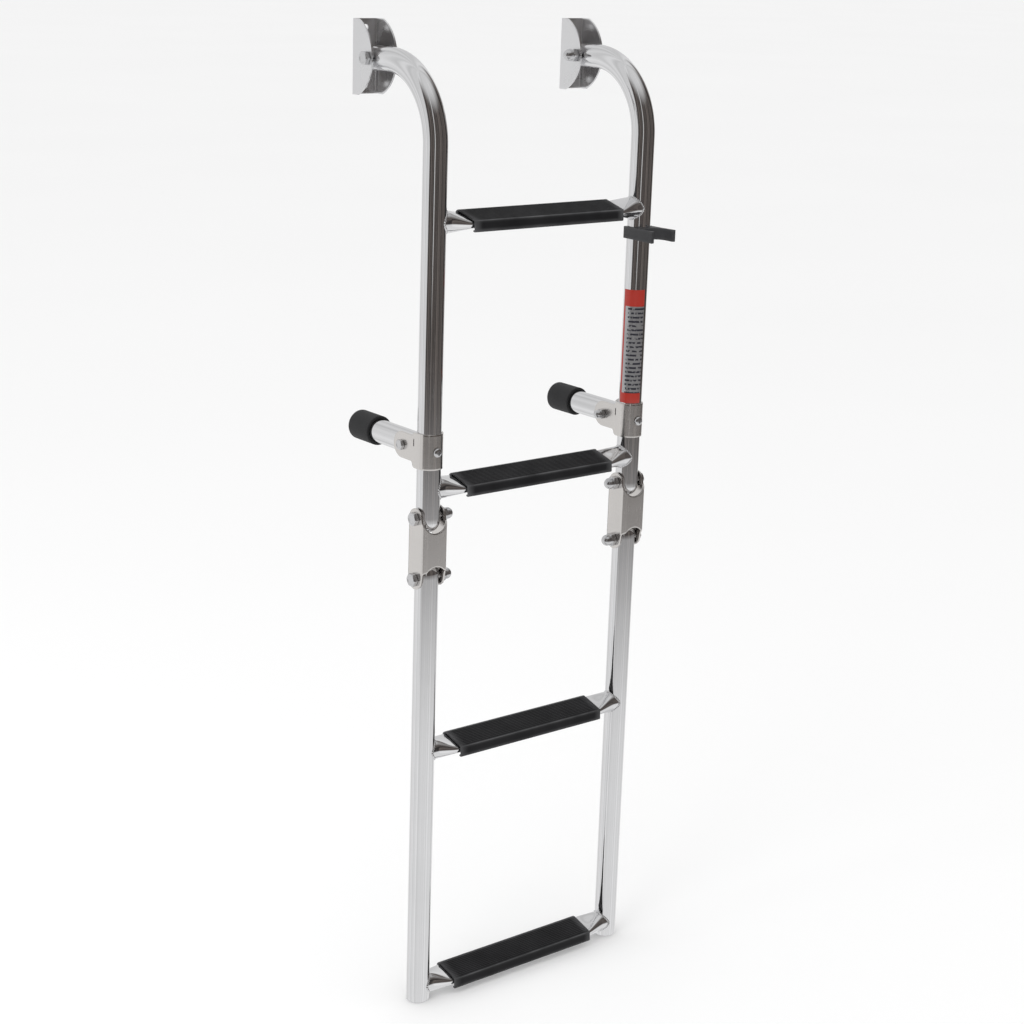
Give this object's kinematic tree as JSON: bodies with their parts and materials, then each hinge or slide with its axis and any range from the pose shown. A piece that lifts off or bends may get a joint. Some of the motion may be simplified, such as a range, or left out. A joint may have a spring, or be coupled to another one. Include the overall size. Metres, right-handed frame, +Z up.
{
  "type": "boarding ladder",
  "caption": "Folding tubular boarding ladder with bent upper rails on wall brackets, flat non-slip treads, a hinged lower section and two capped stand-off arms.",
  "frame": {"origin": "on the transom face, midway between the two brackets and at the height of their pivot bolts", "axes": "+X along the steps to the climber's right, +Y horizontally towards the boat, +Z up"},
  "size_m": [0.3196, 0.1685, 1.0642],
  "materials": {
    "polished_steel": "mirror-polished stainless steel tube and sheet, with faint lengthwise polishing marks",
    "satin_steel": "satin pressed stainless steel sheet and domed tube plugs",
    "fastener_steel": "bright stainless hex bolts, acorn nuts and cross-recess screws",
    "plug_alloy": "plain disc closing each rail foot",
    "tread_plastic": "black moulded plastic with fine lengthwise grooves, worn a little lighter along its edges",
    "cap_rubber": "dull black rubber",
    "clip_plastic": "black moulded plastic",
    "label_film": "plain film sticker in bands of red and grey with no lettering"
  },
  "bodies": {
    "brackets": {"left_bracket": "polished_steel", "left_bracket_bolt": "fastener_steel", "left_bracket_nut": "fastener_steel", "right_bracket": "polished_steel", "right_bracket_bolt": "fastener_steel", "right_bracket_nut": "fastener_steel"},
    "upper_section": {"left_upper_rail": "polished_steel", "left_upper_rail_plug": "satin_steel", "left_standoff_clamp": "satin_steel", "left_clamp_screw": "fastener_steel", "left_standoff_bolt": "fastener_steel", "left_standoff_nut": "fastener_steel", "right_upper_rail": "polished_steel", "right_upper_rail_plug": "satin_steel", "right_standoff_clamp": "satin_steel", "right_clamp_screw": "fastener_steel", "right_standoff_bolt": "fastener_steel", "right_standoff_nut": "fastener_steel", "step_tube_1": "polished_steel", "tread_1": "tread_plastic", "step_tube_2": "polished_steel", "tread_2": "tread_plastic", "storage_clip": "clip_plastic", "rail_label": "label_film"},
    "left_standoff_arm": {"left_standoff": "polished_steel", "left_standoff_cap": "cap_rubber"},
    "left_link": {"left_hinge_link": "satin_steel", "left_upper_hinge_bolt": "fastener_steel", "left_upper_hinge_nut": "fastener_steel", "left_lower_hinge_bolt": "fastener_steel", "left_lower_hinge_nut": "fastener_steel"},
    "right_standoff_arm": {"right_standoff": "polished_steel", "right_standoff_cap": "cap_rubber"},
    "right_link": {"right_hinge_link": "satin_steel", "right_upper_hinge_bolt": "fastener_steel", "right_upper_hinge_nut": "fastener_steel", "right_lower_hinge_bolt": "fastener_steel", "right_lower_hinge_nut": "fastener_steel"},
    "lower_section": {"left_lower_rail": "polished_steel", "left_lower_rail_plug": "satin_steel", "left_foot_plug": "plug_alloy", "right_lower_rail": "polished_steel", "right_lower_rail_plug": "satin_steel", "right_foot_plug": "plug_alloy", "step_tube_3": "polished_steel", "tread_3": "tread_plastic", "step_tube_4": "polished_steel", "tread_4": "tread_plastic"}
  },
  "joints": [
    {"name": "ladder_swing", "type": "hinge", "parent": "brackets", "child": "upper_section", "pos_m": [0, -0.0275, 0], "axis": [-1, 0, 0], "range_deg": [0, 100]},
    {"name": "left_link_fold", "type": "hinge", "parent": "upper_section", "child": "left_link", "pos_m": [-0.1385, -0.1275, -0.4635], "axis": [-1, 0, 0], "range_deg": [0, 90]},
    {"name": "right_link_fold", "type": "hinge", "parent": "upper_section", "child": "right_link", "pos_m": [0.1385, -0.1275, -0.4635], "axis": [-1, 0, 0], "range_deg": [0, 90]},
    {"name": "lower_fold", "type": "hinge", "parent": "left_link", "child": "lower_section", "pos_m": [-0.1385, -0.1275, -0.53], "axis": [-1, 0, 0], "range_deg": [0, 95]},
    {"name": "left_standoff_fold", "type": "hinge", "parent": "upper_section", "child": "left_standoff_arm", "pos_m": [-0.1385, -0.0985, -0.39], "axis": [1, 0, 0], "range_deg": [0, 90]},
    {"name": "right_standoff_fold", "type": "hinge", "parent": "upper_section", "child": "right_standoff_arm", "pos_m": [0.1385, -0.0985, -0.39], "axis": [1, 0, 0], "range_deg": [0, 90]}
  ],
  "couplings": [
    {"joint": "right_link_fold", "follows": "left_link_fold", "ratio": 1}
  ]
}
